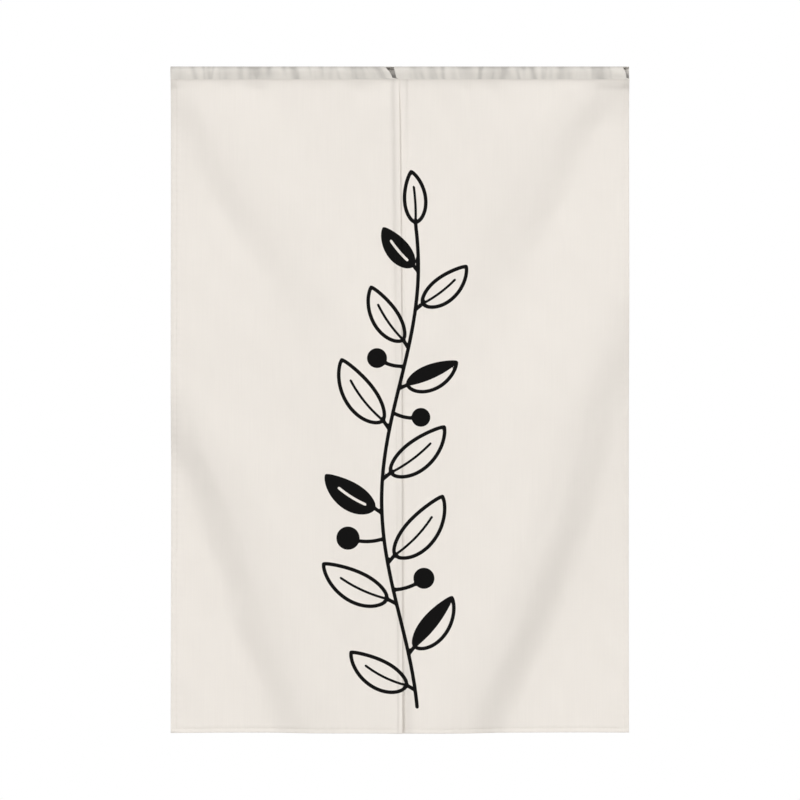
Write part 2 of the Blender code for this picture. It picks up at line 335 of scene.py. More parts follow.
# Leaves and berries, in mm and degrees: the share of the way up the stem, then the side,
# which is -1 on the left
Leaf = namedtuple("Leaf", "at side stalk length width angle bend kind")
LEAVES = [
    Leaf(0.035, -1, 14, 118, 50, 52, 34, "open"),
    Leaf(0.110, 1, 14, 112, 46, 50, -30, "half"),
    Leaf(0.215, -1, 16, 132, 54, 48, 30, "open"),
    Leaf(0.300, 1, 16, 138, 56, 50, -34, "open"),
    Leaf(0.405, -1, 14, 104, 44, 54, 30, "solid"),
    Leaf(0.475, 1, 16, 128, 52, 46, -28, "open"),
    Leaf(0.580, -1, 16, 134, 54, 46, 32, "open"),
    Leaf(0.665, 1, 14, 98, 42, 52, -30, "half"),
    Leaf(0.750, -1, 14, 112, 46, 44, 28, "open"),
    Leaf(0.830, 1, 14, 104, 44, 42, -26, "open"),
    Leaf(0.910, -1, 12, 84, 36, 40, 24, "solid"),
    Leaf(1.000, 1, 8, 92, 38, 2, -14, "open"),
]
Berry = namedtuple("Berry", "at side stalk angle size")
BERRIES = [
    Berry(0.245, 1, 60, 84, 19),
    Berry(0.352, -1, 66, 84, 21),
    Berry(0.615, 1, 52, 88, 17),
    Berry(0.712, -1, 52, 88, 18),
]


def branch_place(at):
    """The stem's place and heading at this share of its way up: a sine that sways across.
    Headings are angles from straight up, to the right."""
    down = STEM_FOOT + (STEM_TOP - STEM_FOOT) * at
    angle = 2.0 * np.pi * (STEM_TURNS * at + STEM_START)
    x = STEM_SWAY * np.cos(angle)
    across = -STEM_SWAY * 2.0 * np.pi * STEM_TURNS * np.sin(angle)
    return x, down, np.arctan2(across, STEM_FOOT - STEM_TOP)


def drawn_path(x, down, heading, length, bend, steps):
    """A line of this length that turns evenly by bend on its way: its headings summed up."""
    headings = heading + np.radians(bend) * np.linspace(-0.5, 0.5, steps)
    step = length / (steps - 1)
    path_x = x + step * np.concatenate([[0.0], np.cumsum(np.sin(headings[1:]))])
    path_down = down - step * np.concatenate([[0.0], np.cumsum(np.cos(headings[1:]))])
    return np.stack([path_x, path_down], axis=1), headings


class Screen:
    """A printing screen: at each place, how far it is to the nearest edge of the ink, in
    mm, and less than zero under ink."""

    FAR = 60.0
    REACH = 24.0

    def __init__(self, x, down):
        self.places = np.stack([x, down], axis=-1).reshape(-1, 2)
        self.ink = np.full(len(self.places), self.FAR)

    def near(self, line):
        """Which places lie near enough to a line to be touched by it."""
        low, high = line.min(0) - self.REACH, line.max(0) + self.REACH
        return np.flatnonzero(((self.places > low) & (self.places < high)).all(1))

    def from_line(self, where, line):
        """Distance to a bent line: the least of those to its straight stretches."""
        starts, stretches = line[:-1], np.diff(line, axis=0)
        away = self.places[where][:, None, :] - starts
        along = (away * stretches).sum(2) / np.maximum((stretches**2).sum(1), 1e-9)
        away = away - np.clip(along, 0.0, 1.0)[:, :, None] * stretches
        return np.sqrt((away**2).sum(2).min(1))

    def from_shape(self, where, outline):
        """Distance to a closed outline, less than zero inside, where a level line from the
        place to the right crosses it an odd number of times."""
        closed = np.concatenate([outline, outline[:1]])
        x, down = self.places[where].T
        from_x, from_down = closed[:-1].T
        to_x, to_down = closed[1:].T
        crosses = (from_down > down[:, None]) != (to_down > down[:, None])
        rise = np.where(to_down == from_down, 1.0, to_down - from_down)
        at_x = from_x + (to_x - from_x) * (down[:, None] - from_down) / rise
        odd = (crosses & (x[:, None] < at_x)).sum(1) % 2 == 1
        return np.where(odd, -1.0, 1.0) * self.from_line(where, closed)

    def line(self, line, width):
        where = self.near(line)
        self.ink[where] = np.minimum(self.ink[where], self.from_line(where, line) - width / 2.0)

    def bare_line(self, line, width):
        where = self.near(line)
        self.ink[where] = np.maximum(self.ink[where], width / 2.0 - self.from_line(where, line))

    def fill(self, outline):
        where = self.near(outline)
        self.ink[where] = np.minimum(self.ink[where], self.from_shape(where, outline))

    def bare(self, outline):
        where = self.near(outline)
        self.ink[where] = np.maximum(self.ink[where], -self.from_shape(where, outline))


def draw_leaf(screen, leaf):
    """A stalk, then a leaf whose half width grows with a power of the way along its rib
    and shrinks with a power of the way left."""
    x, down, heading = branch_place(leaf.at)
    heading = heading + leaf.side * np.radians(leaf.angle)
    stalk, _ = drawn_path(x, down, heading, leaf.stalk + 0.5 * LINE, 0, 4)
    rib, headings = drawn_path(*stalk[-1], heading, leaf.length, leaf.bend, RIB_POINTS)
    share = np.linspace(0.0, 1.0, len(rib))
    half = share**LEAF_SWELLS * (1.0 - share) ** LEAF_NARROWS
    half = 0.5 * leaf.width * half / half.max()
    across = np.stack([np.cos(headings), np.sin(headings)], axis=1)
    right, left = rib + half[:, None] * across, rib - half[:, None] * across
    outline = np.concatenate([right, left[::-1]])

    screen.line(stalk, LINE)
    screen.bare(outline)
    screen.line(np.concatenate([outline, outline[:1]]), LINE)
    if leaf.kind == "solid":
        screen.fill(outline)
        screen.bare_line(rib[RIB_FROM:RIB_TO], RIB_LINE)
    elif leaf.kind == "half":
        upper = left if leaf.side > 0 else right
        screen.fill(np.concatenate([upper, rib[::-1]]))
        screen.line(rib, RIB_LINE)
    else:
        screen.line(rib[:RIB_TO], RIB_LINE)


def draw_berry(screen, berry):
    """A stalk with a round berry at its end."""
    x, down, heading = branch_place(berry.at)
    heading = heading + berry.side * np.radians(berry.angle)
    stalk, _ = drawn_path(x, down, heading, berry.stalk, -BERRY_BEND * berry.side, 16)
    turns = np.linspace(0.0, 2.0 * np.pi, 41)[:-1]
    ring = np.stack([np.cos(turns), np.sin(turns)], axis=1)
    screen.line(stalk, LINE)
    screen.fill(stalk[-1] + berry.size * ring)


def branch_print(x, down):
    """The whole print: the stem, then its berries, then its leaves from the foot up."""
    screen = Screen(x / MM, down / MM)
    stem_x, stem_down, _ = branch_place(np.linspace(0.0, 1.0, 120))
    screen.line(np.stack([stem_x, stem_down], axis=1), LINE)
    for berry in BERRIES:
        draw_berry(screen, berry)
    for leaf in LEAVES:
        draw_leaf(screen, leaf)
    return screen.ink


# The weave, as a material. Uneven yarns of warm off-white cross one over, one under, and
# some run thick for a hand's breadth. The ink sits on the yarns of the front, and only a
# ghost of it shows on the back.
class Shade:
    """What a node says of each point of the cloth. Arithmetic adds Math nodes, and node()
    adds any other kind: its settings are set first, then its sockets."""

    def __init__(self, socket):
        self.socket = socket

    def node(self, kind, settings, sockets, output=0):
        tree = self.socket.id_data
        made = tree.nodes.new(kind)
        for name, value in settings.items():
            setattr(made, name, value)
        for name, value in sockets.items():
            if isinstance(value, Shade):
                tree.links.new(value.socket, made.inputs[name])
            else:
                made.inputs[name].default_value = value
        return Shade(made.outputs[output])

    def maths(self, operation, *values):
        return self.node("ShaderNodeMath", {"operation": operation}, dict(enumerate(values)))

    def __add__(self, other):
        return self.maths("ADD", self, other)

    __radd__ = __add__

    def __sub__(self, other):
        return self.maths("SUBTRACT", self, other)

    def __rsub__(self, other):
        return self.maths("SUBTRACT", other, self)

    def __mul__(self, other):
        return self.maths("MULTIPLY", self, other)

    __rmul__ = __mul__

    def sine(self):
        return self.maths("SINE", self)

    def reading(self, name, output=2):
        """A number that the mesh keeps with its points, or a place if output is 1."""
        return self.node("ShaderNodeAttribute", {"attribute_name": name}, {}, output)

    def part(self, which):
        """One of the three numbers of a place."""
        return self.node("ShaderNodeSeparateXYZ", {}, {0: self}, which)

    def lit(self, colour):
        """A colour multiplied by this."""
        sockets = {0: screen_colour(*colour)[:3], "Scale": self}
        return self.node("ShaderNodeVectorMath", {"operation": "SCALE"}, sockets)

    def mixed(self, bare, inked):
        """The first colour where this is 0, the second where it is 1."""
        sockets = {"Factor": self, "A": bare, "B": inked}
        return self.node("ShaderNodeMix", {"data_type": "RGBA"}, sockets, 2)

    def eased(self, low, high):
        """0 where this is low or less, 1 where it is high or more, and eased between."""
        settings = {"interpolation_type": "SMOOTHSTEP"}
        sockets = {"Value": self, "From Min": low, "From Max": high}
        return self.node("ShaderNodeMapRange", settings, sockets)

    def stretched(self, *scales):
        """A place with each of its numbers multiplied, for a pattern that runs one way."""
        settings = {"operation": "MULTIPLY"}
        return self.node("ShaderNodeVectorMath", settings, {0: self, 1: scales})

    def patches(self, detail):
        """Soft irregular patches, from 0 to 1, about one unit of the place apart."""
        sockets = {"Vector": self, "Scale": 1.0, "Detail": detail, "Roughness": 0.55}
        return self.node("ShaderNodeTexNoise", {"noise_dimensions": "3D"}, sockets)


YARN = 0.85                     # mm from one yarn to the next
INK = (0.0036, 0.0034, 0.0033, 1.0)
INK_SOFTNESS = 0.30             # mm over which the ink's edge runs into the yarns
SHOW_THROUGH = 0.09             # of the ink, on the back
WARP_SLUBS, WEFT_SLUBS = (0.50, 0.010, 1.0), (0.012, 0.60, 1.0)    # how many a mm, across and down
BROAD_PATCHES = (0.016, 0.009, 1.0)
# The last of these is painted shade: darker between the yarns' tops, lighter on them
WARP_TONE, WEFT_TONE, BROAD_TONE, YARN_SHADE = 0.045, 0.014, 0.012, 0.075
MEAN_YARN_TOP = 0.405           # a sine's mean size, squared
YARN_RELIEF, WARP_RELIEF, WEFT_RELIEF = 1.3, 0.7, 0.25


def screen_colour(red, green, blue):
    """A colour as a screen shows it, 0 to 255, as the light it stands for."""
    screen = np.array([red, green, blue]) / 255.0
    light = np.where(screen > 0.04045, ((screen + 0.055) / 1.055) ** 2.4, screen / 12.92)
    return (*light, 1.0)


def new_material(name):
    """A new material, and its one shader."""
    material = bpy.data.materials.new(name)
    material.use_nodes = True
    return material, material.node_tree.nodes["Principled BSDF"]


def linen(name, colour, printed):
    """Plain weave: sines across and down, multiplied, are the yarns' tops, warp where this
    is above 0 and weft where it is below, and both stand out as much. Noise drawn out
    along the warp and the weft makes the slubs, which change the colour and the relief.
    The colour is painted darker between the yarns' tops, as painted shade, and darker
    again by the painted shade kept with each point."""
    material, shader = new_material(name)
    tree = material.node_tree
    shader.inputs["Metallic"].default_value = 0.0
    shader.inputs["Specular IOR Level"].default_value = 0.08
    shader.inputs["Sheen Weight"].default_value = 0.02
    shader.inputs["Sheen Roughness"].default_value = 0.6

    place = Shade(shader.outputs[0]).reading("flat_place", 1)
    warp_slubs = place.stretched(*WARP_SLUBS).patches(2.0)
    weft_slubs = place.stretched(*WEFT_SLUBS).patches(2.0)
    broad = place.stretched(*BROAD_PATCHES).patches(1.0)
    across, down, layer = place.part(0), place.part(1), place.part(2)
    warp = ((across + 0.5 * warp_slubs) * (np.pi / YARN)).sine()
    weft = ((down + 0.5 * weft_slubs) * (np.pi / YARN)).sine()
    yarn_tops = (warp * weft).maths("ABSOLUTE")

    light = 0.985 + WARP_TONE * (warp_slubs - 0.5) + WEFT_TONE * (weft_slubs - 0.5)
    light = light + BROAD_TONE * (broad - 0.5) + YARN_SHADE * (yarn_tops - MEAN_YARN_TOP)
    # Painted shade: the share kept with each point darkens the colour
    light = light * (1.0 - place.reading("painted_shade"))
    cloth = light.lit(colour)
    ink = 0.0 * light
    if printed:
        frayed = place.reading("ink_edge") + 0.35 * (warp_slubs - 0.5) + 0.08 * yarn_tops
        on_front = 1.0 - (1.0 - SHOW_THROUGH) * layer.eased(0.2, 0.8)
        ink = (1.0 - frayed.eased(-INK_SOFTNESS, INK_SOFTNESS)) * on_front
        cloth = ink.mixed(cloth, INK)
    relief = YARN_RELIEF * yarn_tops + WARP_RELIEF * warp_slubs + WEFT_RELIEF * weft_slubs
    sockets = {"Strength": 0.35, "Distance": 0.25 * MM, "Height": relief}
    bumpy = relief.node("ShaderNodeBump", {}, sockets)
    tree.links.new(cloth.socket, shader.inputs["Base Color"])
    tree.links.new((0.9 - 0.12 * ink).socket, shader.inputs["Roughness"])
    tree.links.new(bumpy.socket, shader.inputs["Normal"])
    return material


# The two panels. Each is a sheet 445 mm wide before its sides are turned in, and hangs
# from its own pocket. Its front is close-meshed where the print is, so that the ink's
# edges come out clean, and its back has half as many rows and columns.
PRINT_TOP, PRINT_FOOT, PRINT_SIDE = 180 * MM, 1166 * MM, 146 * MM
PRINT_STEP, PLAIN_STEP, TOP_STEP = 4.9 * MM, 9.0 * MM, 7.4 * MM
# Lines of the mesh in a hem, as shares of its stitches' distance from the edge, and under
# the seam, in mm
HEM_STEPS = np.array([0.0, 0.03, 0.10, 0.38, 0.76, 0.93, 1.0, 1.07, 1.14, 1.18, 1.40])
SEAM_STEPS = np.array([-0.5, 0.3, 0.8, 1.2, 1.6, 2.4, 3.6, 3.85, 6.5])
INNER_END = 20 * MM             # from the middle, where the even columns end
PANEL_COLOUR = (237, 231, 224)


def even_steps(low, high, step):
    """Places from low to high, both left out, about one step apart."""
    return np.linspace(low, high, int(np.ceil(abs(high - low) / step)) + 1)[1:-1]


def with_middles(places):
    """The same places with one more halfway between each two."""
    middles = (places[:-1] + places[1:]) / 2.0
    return np.insert(places, np.arange(1, len(places)), middles)


def panel_rows():
    """Rows of the back, from the seam down: close at the seam, the print and the hem."""
    seam = SEAM + SEAM_STEPS * MM
    hem = LENGTH - HEM_STEPS[::-1] * BOTTOM_STITCHES
    plain = even_steps(seam[-1], PRINT_TOP, TOP_STEP)
    printed = np.linspace(PRINT_TOP, PRINT_FOOT, int((PRINT_FOOT - PRINT_TOP) / PRINT_STEP))
    below = even_steps(PRINT_FOOT, hem[0], PRINT_STEP)
    return np.concatenate([seam, plain, printed, below, hem])


def panel_grid(side, middles):
    """x and distance down of a panel's rows and columns. Columns in the hems keep their
    distance from the edge, and those between keep their share of the way across."""
    rows = with_middles(panel_rows()) if middles else panel_rows()
    outer_end = WIDTH / 2.0 - HEM_STEPS[-1] * OUTER_STITCHES
    plain = even_steps(outer_end, PRINT_SIDE, PLAIN_STEP)
    printed = np.linspace(PRINT_SIDE, INNER_END, int((PRINT_SIDE - INNER_END) / PRINT_STEP))[:-1]
    between = (np.concatenate([plain, printed]) - INNER_END) / (outer_end - INNER_END)
    down = rows[:, None]
    outer = side * (WIDTH / 2.0 - HEM_STEPS * OUTER_STITCHES) + 0.0 * down
    edge = left_inner_edge(down) if side < 0 else right_inner_edge(down)
    inner = edge + side * HEM_STEPS * inner_stitches(side, down)
    middle = inner[:, -1:] + (outer[:, -1:] - inner[:, -1:]) * between
    x = np.concatenate([outer, middle, inner[:, ::-1]], axis=1)
    if middles:
        x = np.apply_along_axis(with_middles, 1, x)
    x = x if side < 0 else x[:, ::-1]
    return x, np.broadcast_to(down, x.shape)


def quads(rows, columns, first):
    """Faces of a grid of vertices that turn from one row to the next, then across."""
    corner = first + np.arange(rows - 1)[:, None] * columns + np.arange(columns - 1)
    return np.stack([corner, corner + columns, corner + columns + 1, corner + 1], -1)


def rim_faces(front, back):
    """Faces that close a border, each between two stretches of the front's border and
    one of the back's. Both are lists of vertices, in the order that faces outwards."""
    return np.stack([front[:-2:2], front[1::2], front[2::2], back[1:], back[:-1]], -1)


def smooth_mesh(name, points, faces):
    """A smoothly shaded mesh."""
    mesh = bpy.data.meshes.new(name)
    mesh.from_pydata(points.tolist(), [], faces)
    mesh.polygons.foreach_set("use_smooth", np.ones(len(faces), bool))
    return mesh


def keep(mesh, name, kind, values):
    """Keeps a number or a place with every point of a mesh, for its material to read."""
    kept = mesh.attributes.new(name, kind, "POINT")
    kept.data.foreach_set("value" if kind == "FLOAT" else "vector", np.ravel(values))


def panel_mesh(name, side):
    """Front and back grids, drawn together at the edges and closed along the border."""
    x, down = panel_grid(side, True)
    thickness = panel_thickness(side, x, down)
    y = panel_front(side, x, down) + edge_round(side, x, down, thickness)
    back_x, back_down = panel_grid(side, False)
    back_thickness = panel_thickness(side, back_x, back_down)
    back_y = panel_front(side, back_x, back_down) + back_thickness
    back_y = back_y - edge_round(side, back_x, back_down, back_thickness)

    front_at = np.arange(x.size).reshape(x.shape)
    back_at = x.size + np.arange(back_x.size).reshape(back_x.shape)
    front = quads(*x.shape, 0).reshape(-1, 4)
    back = quads(*back_x.shape, x.size).reshape(-1, 4)[:, ::-1]
    borders = [
        rim_faces(front_at[0], back_at[0]),
        rim_faces(front_at[-1, ::-1], back_at[-1, ::-1]),
        rim_faces(front_at[::-1, 0], back_at[::-1, 0]),
        rim_faces(front_at[:, -1], back_at[:, -1]),
    ]
    points = np.concatenate(
        [
            np.stack([x, y, -down], -1).reshape(-1, 3),
            np.stack([back_x, back_y, -back_down], -1).reshape(-1, 3),
        ]
    )
    faces = front.tolist() + back.tolist() + np.concatenate(borders).tolist()
    mesh = smooth_mesh(name, points, faces)

    layer = np.repeat([0.0, 1.0], [front_at.size, back_at.size])
    x, down = points[:, 0], -points[:, 2]
    keep(mesh, "flat_place", "FLOAT_VECTOR", np.stack([x / MM, down / MM, layer], -1))
    keep(mesh, "ink_edge", "FLOAT", branch_print(x, down))
    # Painted shade for the material: the stitch crease, beside the slit, and the left panel's
    # shadow
    keep(mesh, "painted_shade", "FLOAT", panel_painted_shade(side, x, down))
    return mesh


def add_piece(name, mesh, material):
    """Puts a finished mesh in the scene, riding the curtain's one body."""
    mesh.materials.append(material)
    piece = bpy.data.objects.new(name, mesh)
    bpy.context.scene.collection.objects.link(piece)
    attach(piece, "root")
    return piece


printed_linen = linen("printed_linen", PANEL_COLOUR, printed=True)
for side, name in ((-1, "left"), (1, "right")):
    mesh = panel_mesh(name + "_panel_cloth", side)
    add_piece(name + "_panel_cloth", mesh, printed_linen)
    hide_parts(name + "_panel")


# The rod pockets. The top of each panel is turned over to the back and sewn across, which
# leaves an open-ended sleeve, round at the top and tapering to its seam. It is drawn up
# along the rod into uneven gathers, and its ends lean and gape a little.
POCKET_FOOT = 1.2 * MM          # half the sleeve's depth at its seam
POCKET_WEDGE, WEDGE_ENDS = 6.8 * MM, 0.6       # how fast it widens, and up to which height
GATHER = 2.4 * MM               # how far full cloth stands out past drawn-in cloth
BACK_GATHER = 0.75              # how much of the drawing in shows on the back
MAIN_LIMIT = 1.2                # the most that the main gathers draw the cloth in
MOST_DRAWN = 0.15               # past 1, puckers included
PUCKERS, PUCKER_SHARE = 75, 0.35
END_REACH = 60 * MM
END_CUT = 2.3                   # how much of a front's lean is near its top
END_HEM = 9 * MM                # the side hem goes on up through the pocket's end
POCKET_STEP = 1.0 * MM
POCKET_LOOP = 64                # faces round the sleeve
# Painted light: the pockets' linen is the panels' cloth, painted a little lighter
POCKET_LIGHTENED_COLOUR = (240, 235, 228)
END_ROUND, END_CLOSES = 0.5 * MM, 0.92         # an end's rounded edge, and how far it closes
SEAM_ROUND = 0.12               # share of the height over which the seam lets go of the sleeve
INSIDE_FOOT = 1.3 * MM          # from the seam up to the inside

# Painted shade: how much darker the cloth is painted where it is fully drawn in, then by the
# share of the height, outside and inside the sleeve
GATHER_SHADE = 0.25
UP_SHADES = [(0.3, 0.0), (0.6, 0.04), (0.74, 0.11), (0.86, 0.26), (0.94, 0.32)]
INSIDE_SHADES = [(0.25, 0.65), (0.85, 0.0)]
DARKEST_SHADE = 0.5

# Gathers, in mm: middle, width, how much the cloth is drawn in, and how far the foot is to
# the right of the head, then the share of the height at which it is drawn in most and how
# much of the height it takes up
Gather = namedtuple("Gather", "at width drawn slant height tall")
LEFT_GATHERS = [
    Gather(-396, 10, 0.3, 0, 0.2, 0.5),
    Gather(-371, 7, 0.7, 7, 0.5, 3.0),
    Gather(-353, 4, 0.6, 2, 0.5, 3.0),
    Gather(-343, 5, 0.6, 0, 0.1, 0.4),
    Gather(-337, 4, 0.5, -4, 0.5, 3.0),
    Gather(-312, 17, 0.6, 2, 0.9, 0.9),
    Gather(-287, 9, 0.8, 1, 0.6, 0.9),
    Gather(-260, 22, 0.7, 0, 1.0, 0.30),
    Gather(-259, 17, 0.9, 0, 0.37, 0.28),
    Gather(-237, 16, 0.6, 0, 0.42, 0.28),
    Gather(-236, 7, 0.7, -2, 1.0, 0.4),
    Gather(-207, 7, 0.8, 3, 0.9, 0.5),
    Gather(-190, 9, 1.0, 7, 0.5, 3.0),
    Gather(-139, 9, 0.5, -2, 0.6, 0.5),
    Gather(-122, 7, 0.4, -5, 0.6, 0.5),
    Gather(-69, 28, 0.6, 0, 0.7, 2.0),
    Gather(-27, 14, 0.8, 6, 0.5, 0.6),
]
RIGHT_GATHERS = [
    Gather(31, 8, 0.6, 1, 0.7, 1.0),
    Gather(42, 6, 0.4, 2, 0.3, 0.6),
    Gather(59, 9, 0.7, 1, 0.6, 1.0),
    Gather(79, 5, 0.9, 0, 0.5, 3.0),
    Gather(97, 7, 0.4, 2, 0.4, 0.6),
    Gather(117, 18, 0.6, 0, 1.0, 0.4),
    Gather(123, 26, 0.4, 0, 0.4, 0.9),
    Gather(145, 6, 1.1, -3, 0.5, 3.0),
    Gather(166, 22, 0.6, 0, 0.5, 2.0),
    Gather(188, 14, 0.5, 0, 0.7, 0.8),
    Gather(223, 8, 0.9, 2, 1.0, 0.35),
    Gather(240, 8, 1.1, 6, 0.6, 2.0),
    Gather(257, 5, 0.5, 0, 0.3, 0.4),
    Gather(272, 5, 0.4, 0, 0.4, 0.4),
    Gather(291, 12, 0.6, 0, 0.5, 2.0),
    Gather(363, 19, 0.8, 0, 0.6, 2.0),
]

# Ends, in mm: place, then how far the foot is drawn along, how far more the top leans, and
# the same two for the front layer alone
End = namedtuple("End", "at foot lean front_foot front_lean")
LEFT_ENDS = (End(-413, 0, 0, 0, 0), End(-2.1, -4, -5.5, -7, -10))
RIGHT_ENDS = (End(-2.0, -4, -5.5, 0, 0), End(412.6, 0, 0, -5, -8))


def pocket_places(ends):
    """Columns along a pocket, close together at the rounded ends and the end hems' edges."""
    low, high = ends[0].at * MM, ends[1].at * MM
    hem = np.array([0.0, 0.15, 0.45, 1.0, 2.2]) * MM
    edge = END_HEM + np.array([-0.1, 0.15]) * MM
    head = np.concatenate([hem, even_steps(hem[-1], edge[0], POCKET_STEP), edge])
    middle = even_steps(low + head[-1], high - head[-1], POCKET_STEP)
    return np.concatenate([low + head, middle, high - head[::-1]])


def gathered(gathers, x, above_seam):
    """How much the cloth is drawn in, from 0 on the full places to about 1 in the gathers:
    soft hills across, each over its own share of the height."""
    drawn = np.zeros_like(x)
    for gather in gathers:
        line = (gather.at + gather.slant * (0.5 - above_seam)) * MM
        hill = gather.drawn * bump(x - line, gather.width * MM)
        drawn = drawn + hill * bump(above_seam - gather.height, 2.0 * gather.tall)
    return np.clip(drawn, 0.0, MAIN_LIMIT)


def fine_puckers(x, above_seam, seed):
    """Small uneven gathers between the main ones: narrow hills at places and heights drawn
    by lot, each over its own share of the pocket's height."""
    chance = np.random.default_rng(seed)
    puckers = np.zeros_like(x)
    low, high = x.min(), x.max()
    for _ in range(PUCKERS):
        at, width = chance.uniform(low, high), chance.uniform(3.0, 9.0) * MM
        slant, middle = chance.normal(0.0, 4.0) * MM, chance.uniform(0.0, 1.0)
        tall, depth = chance.uniform(0.25, 0.9), chance.uniform(-0.5, 1.0)
        hill = bump(x - at - slant * (0.5 - above_seam), width)
        puckers = puckers + depth * hill * bump(above_seam - middle, 2.0 * tall)
    return puckers


def pocket_depth(drawn, above_seam):
    """Half the sleeve's depth: a wedge that widens from the seam, straight at first and then
    no more, with room for a rod, and full cloth between the gathers. The root of what is
    left of 1 rounds the top."""
    wedge = POCKET_WEDGE * above_seam / (1.0 + (above_seam / WEDGE_ENDS) ** 4) ** 0.25
    full = GATHER * (1.0 - drawn) * above_seam**1.5
    return (POCKET_FOOT + wedge + full) * np.sqrt(1.0 - above_seam**6)


def pocket_surface(gathers, ends, seed):
    """The outside of a pocket: loops from the seam up the front, over the top and down the
    back, as deep as the section and the gathers say, with their tops drawn along at both
    ends. Rows of the result run along the pocket, and columns go round it."""
    along = pocket_places(ends)[:, None]
    angle = 2.0 * np.pi * np.arange(POCKET_LOOP) / POCKET_LOOP
    above_seam, facing_front = (1.0 - np.cos(angle)) / 2.0, np.sin(angle)
    x = along + 0.0 * angle
    above_seam, facing_front = above_seam + 0.0 * x, facing_front + 0.0 * x
    share = np.where(facing_front > 0.0, 1.0, BACK_GATHER)
    drawn = gathered(gathers, x, above_seam)
    drawn = drawn + PUCKER_SHARE * fine_puckers(x, above_seam, seed)
    past_one = np.clip(drawn - 1.0, 0.0, None)
    drawn = np.minimum(drawn, 1.0) + MOST_DRAWN * np.tanh(past_one / MOST_DRAWN)
    y = -np.sign(facing_front) * pocket_depth(share * drawn, above_seam)
    z = -SEAM * (1.0 - above_seam)
    front_layer = smooth_step(facing_front, -0.2, 0.7)
    off_seam = smooth_step(above_seam, 0.0, SEAM_ROUND)
    for end, end_x in zip(ends, (along[0], along[-1])):
        near_end = np.exp(-np.abs(along - end_x) / END_REACH)
        leaned = end.foot * off_seam + end.lean * above_seam
        front_leaned = end.front_foot * off_seam + end.front_lean * above_seam**END_CUT
        x = x + (leaned + front_leaned * front_layer) * MM * near_end
    return x, y, z, above_seam, drawn


def pocket_mesh(name, gathers, ends, seed):
    """The outside, an inside one wall further in, and rims that close the two ends."""
    x, y, z, above_seam, drawn = pocket_surface(gathers, ends, seed)
    outside = np.stack([x, y, z], -1)
    along = pocket_places(ends)
    from_end = np.minimum(along - ends[0].at * MM, ends[1].at * MM - along)
    wall = CLOTH * (2.0 - smooth_step(from_end, END_HEM - 0.1 * MM, END_HEM + 0.15 * MM))
    round_end = np.clip(1.0 - from_end / END_ROUND, 0.0, 1.0)
    draw = 0.5 * (1.0 - np.sqrt(1.0 - END_CLOSES * round_end**2))
    around = np.roll(outside, -1, axis=1) - np.roll(outside, 1, axis=1)
    lengthwise = np.gradient(outside, axis=0)
    inward = np.cross(around, lengthwise)
    inward = inward / np.linalg.norm(inward, axis=2, keepdims=True)
    inside = outside + inward * wall[:, None, None]
    inside[..., 2] = np.clip(inside[..., 2], -SEAM + INSIDE_FOOT, None)
    near_seam = 1.0 - smooth_step(above_seam, 0.03, SEAM_ROUND)
    inside[..., 1] = inside[..., 1] * (1.0 - 0.8 * near_seam)
    outer = outside + (inside - outside) * draw[:, None, None]
    inner = inside + (outside - inside) * draw[:, None, None]

    rows, loop = x.shape
    at = np.arange(rows * loop).reshape(rows, loop)
    wrapped = np.concatenate([at, at[:, :1]], axis=1)
    outer_faces = np.stack(
        [wrapped[:-1, :-1], wrapped[1:, :-1], wrapped[1:, 1:], wrapped[:-1, 1:]], -1
    ).reshape(-1, 4)
    inner_faces = outer_faces[:, ::-1] + at.size
    low_rim = np.stack([wrapped[0, :-1], wrapped[0, 1:]], -1)
    low_rim = np.concatenate([low_rim, low_rim[:, ::-1] + at.size], axis=1)
    high_rim = np.stack([wrapped[-1, 1:], wrapped[-1, :-1]], -1)
    high_rim = np.concatenate([high_rim, high_rim[:, ::-1] + at.size], axis=1)
    points = np.concatenate([outer.reshape(-1, 3), inner.reshape(-1, 3)])
    faces = np.concatenate([outer_faces, inner_faces, low_rim, high_rim])
    mesh = smooth_mesh(name, points, faces.tolist())

    girth = np.linalg.norm(np.diff(np.concatenate([outer, outer[:, :1]], 1), axis=1), axis=2)
    round_it = np.cumsum(girth, axis=1) - girth
    flat = np.stack([x / MM, (SEAM - round_it) / MM, 0.0 * x], -1).reshape(-1, 3)
    keep(mesh, "flat_place", "FLOAT_VECTOR", np.concatenate([flat, flat + (0, 0, 1)]))
    # Painted shade: darker in the gathers, towards the top, and inside the sleeve near its seam
    tone = GATHER_SHADE * drawn + np.interp(above_seam, *zip(*UP_SHADES))
    tone = np.clip(tone, 0.0, DARKEST_SHADE).ravel()
    inside_shade = np.interp(above_seam, *zip(*INSIDE_SHADES)).ravel()
    keep(mesh, "painted_shade", "FLOAT", np.concatenate([tone, inside_shade]))
    return mesh


# The pockets' linen: the panels' cloth painted a little lighter, as painted light
lightened_gathered_linen = linen("lightened_gathered_linen", POCKET_LIGHTENED_COLOUR, printed=False)
for name, gathers, ends, seed in (
    ("left", LEFT_GATHERS, LEFT_ENDS, 5),
    ("right", RIGHT_GATHERS, RIGHT_ENDS, 8),
):
    mesh = pocket_mesh(name + "_pocket_cloth", gathers, ends, seed)
    add_piece(name + "_pocket_cloth", mesh, lightened_gathered_linen)
    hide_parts(name + "_pocket")


# The stitches. One row of lockstitch in cloth-coloured thread holds each hem and closes
# each pocket. It shows on the front and on the back, three or so to the centimetre, each
# stitch a short thread that dips into the cloth at both ends.
STITCH_PITCH, STITCH_LENGTH, THREAD = 3.0 * MM, 2.4 * MM, 0.16 * MM
DOWN_START, DOWN_END = 3.5 * MM, 1 * MM        # from the seam and from the bottom stitches
BOTTOM_START, SEAM_START = 3 * MM, 1.5 * MM    # from the panel's edges
THREAD_COLOUR = (232, 226, 217)


